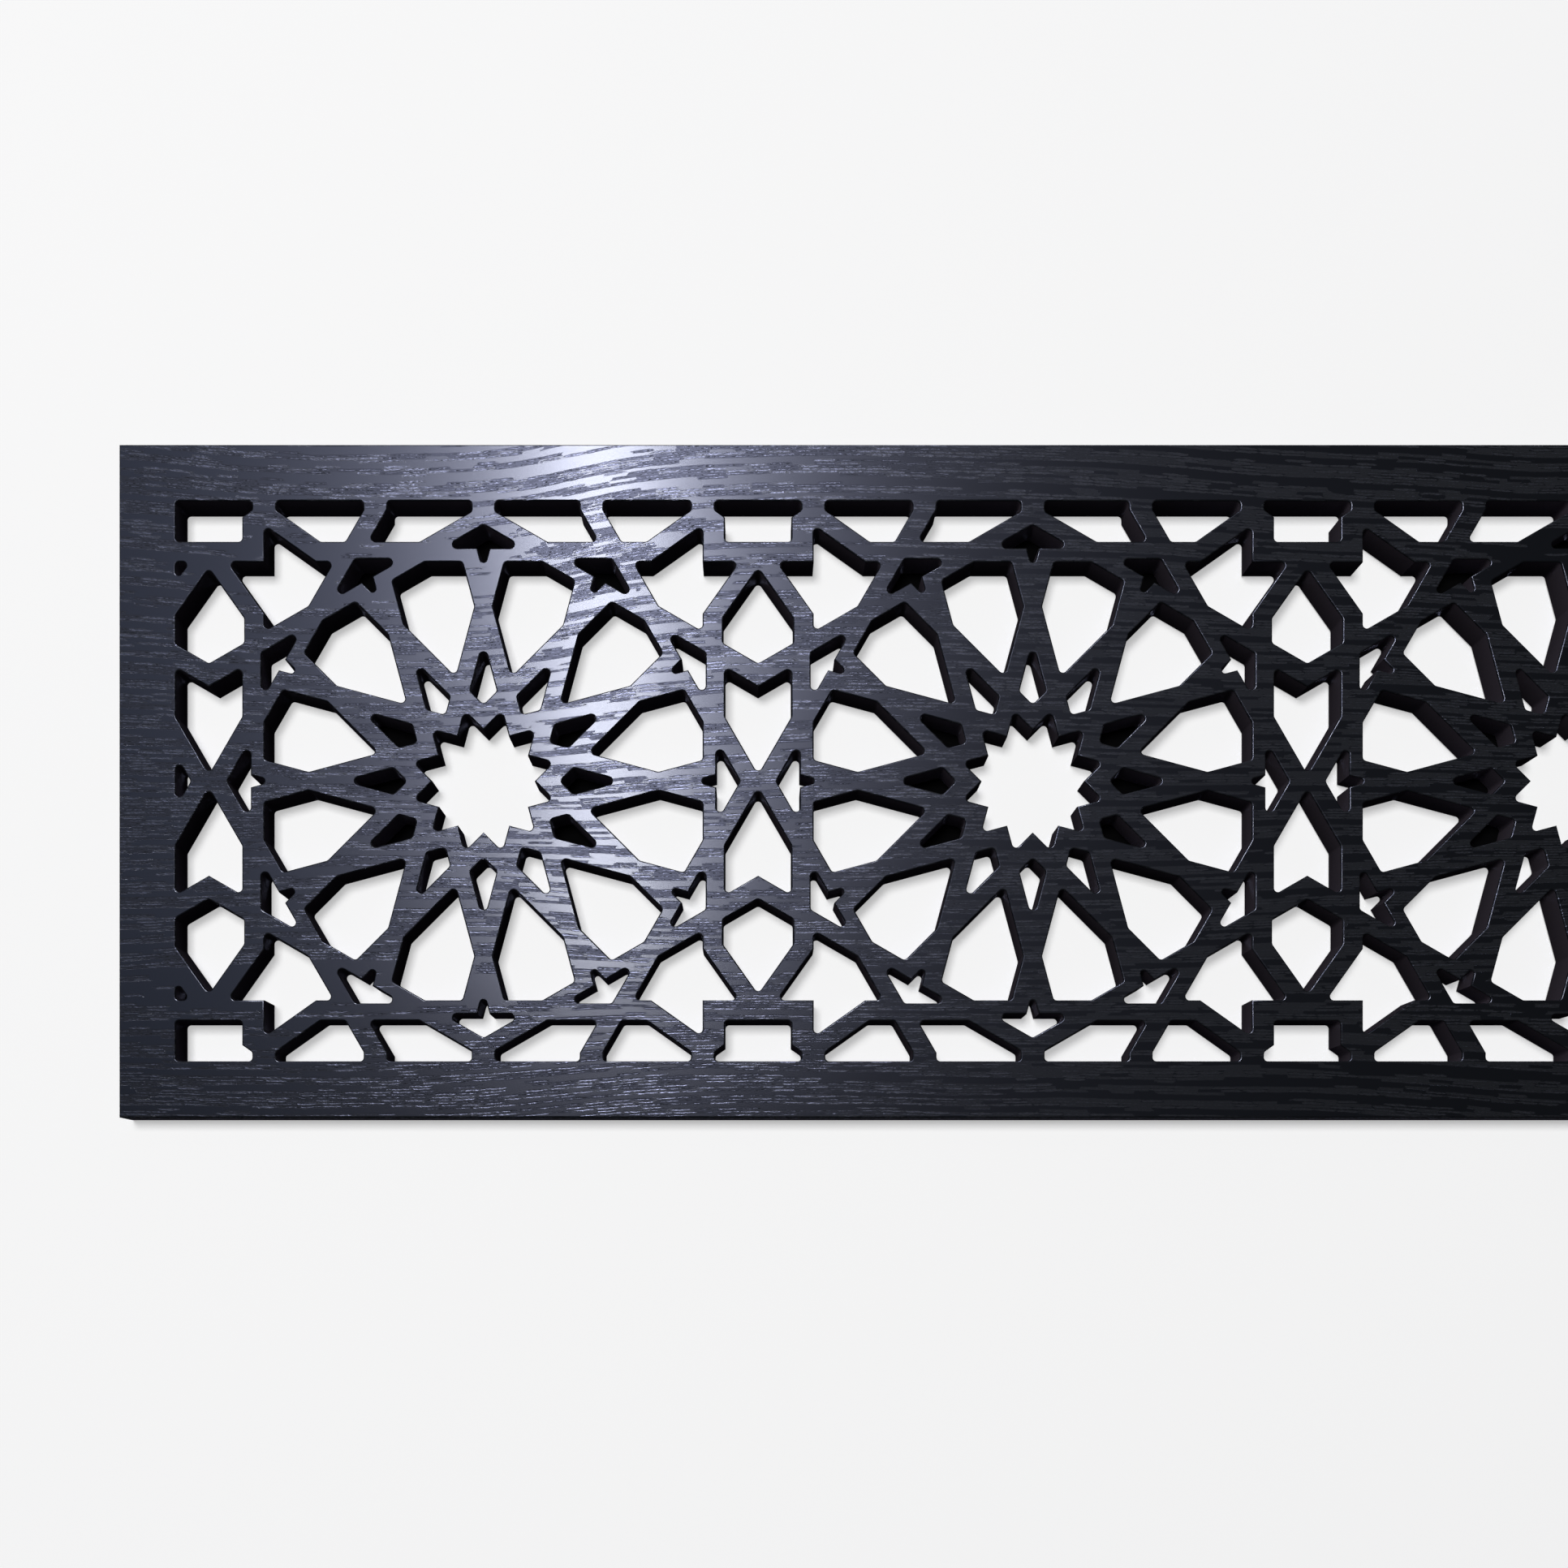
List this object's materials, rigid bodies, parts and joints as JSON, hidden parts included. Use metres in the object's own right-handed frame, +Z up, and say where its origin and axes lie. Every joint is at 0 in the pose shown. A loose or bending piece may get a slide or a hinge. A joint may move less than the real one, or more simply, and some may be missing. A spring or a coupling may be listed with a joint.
{
  "type": "trellis fence panel",
  "caption": "Long low fence panel: one board cut through into a lattice of twelve-fold rosettes inside a plain margin, with an embossed wood grain.",
  "frame": {"origin": "middle of the bottom edge, halfway through the thickness", "axes": "+X along the panel, +Z up, decorated face towards -Y"},
  "size_m": [1.8028, 0.015, 0.349],
  "materials": {
    "composite_board": "embossed wood grain, semi-gloss, near black; milled edges matt"
  },
  "bodies": {
    "root": {"lattice_panel": "composite_board"}
  },
  "joints": []
}
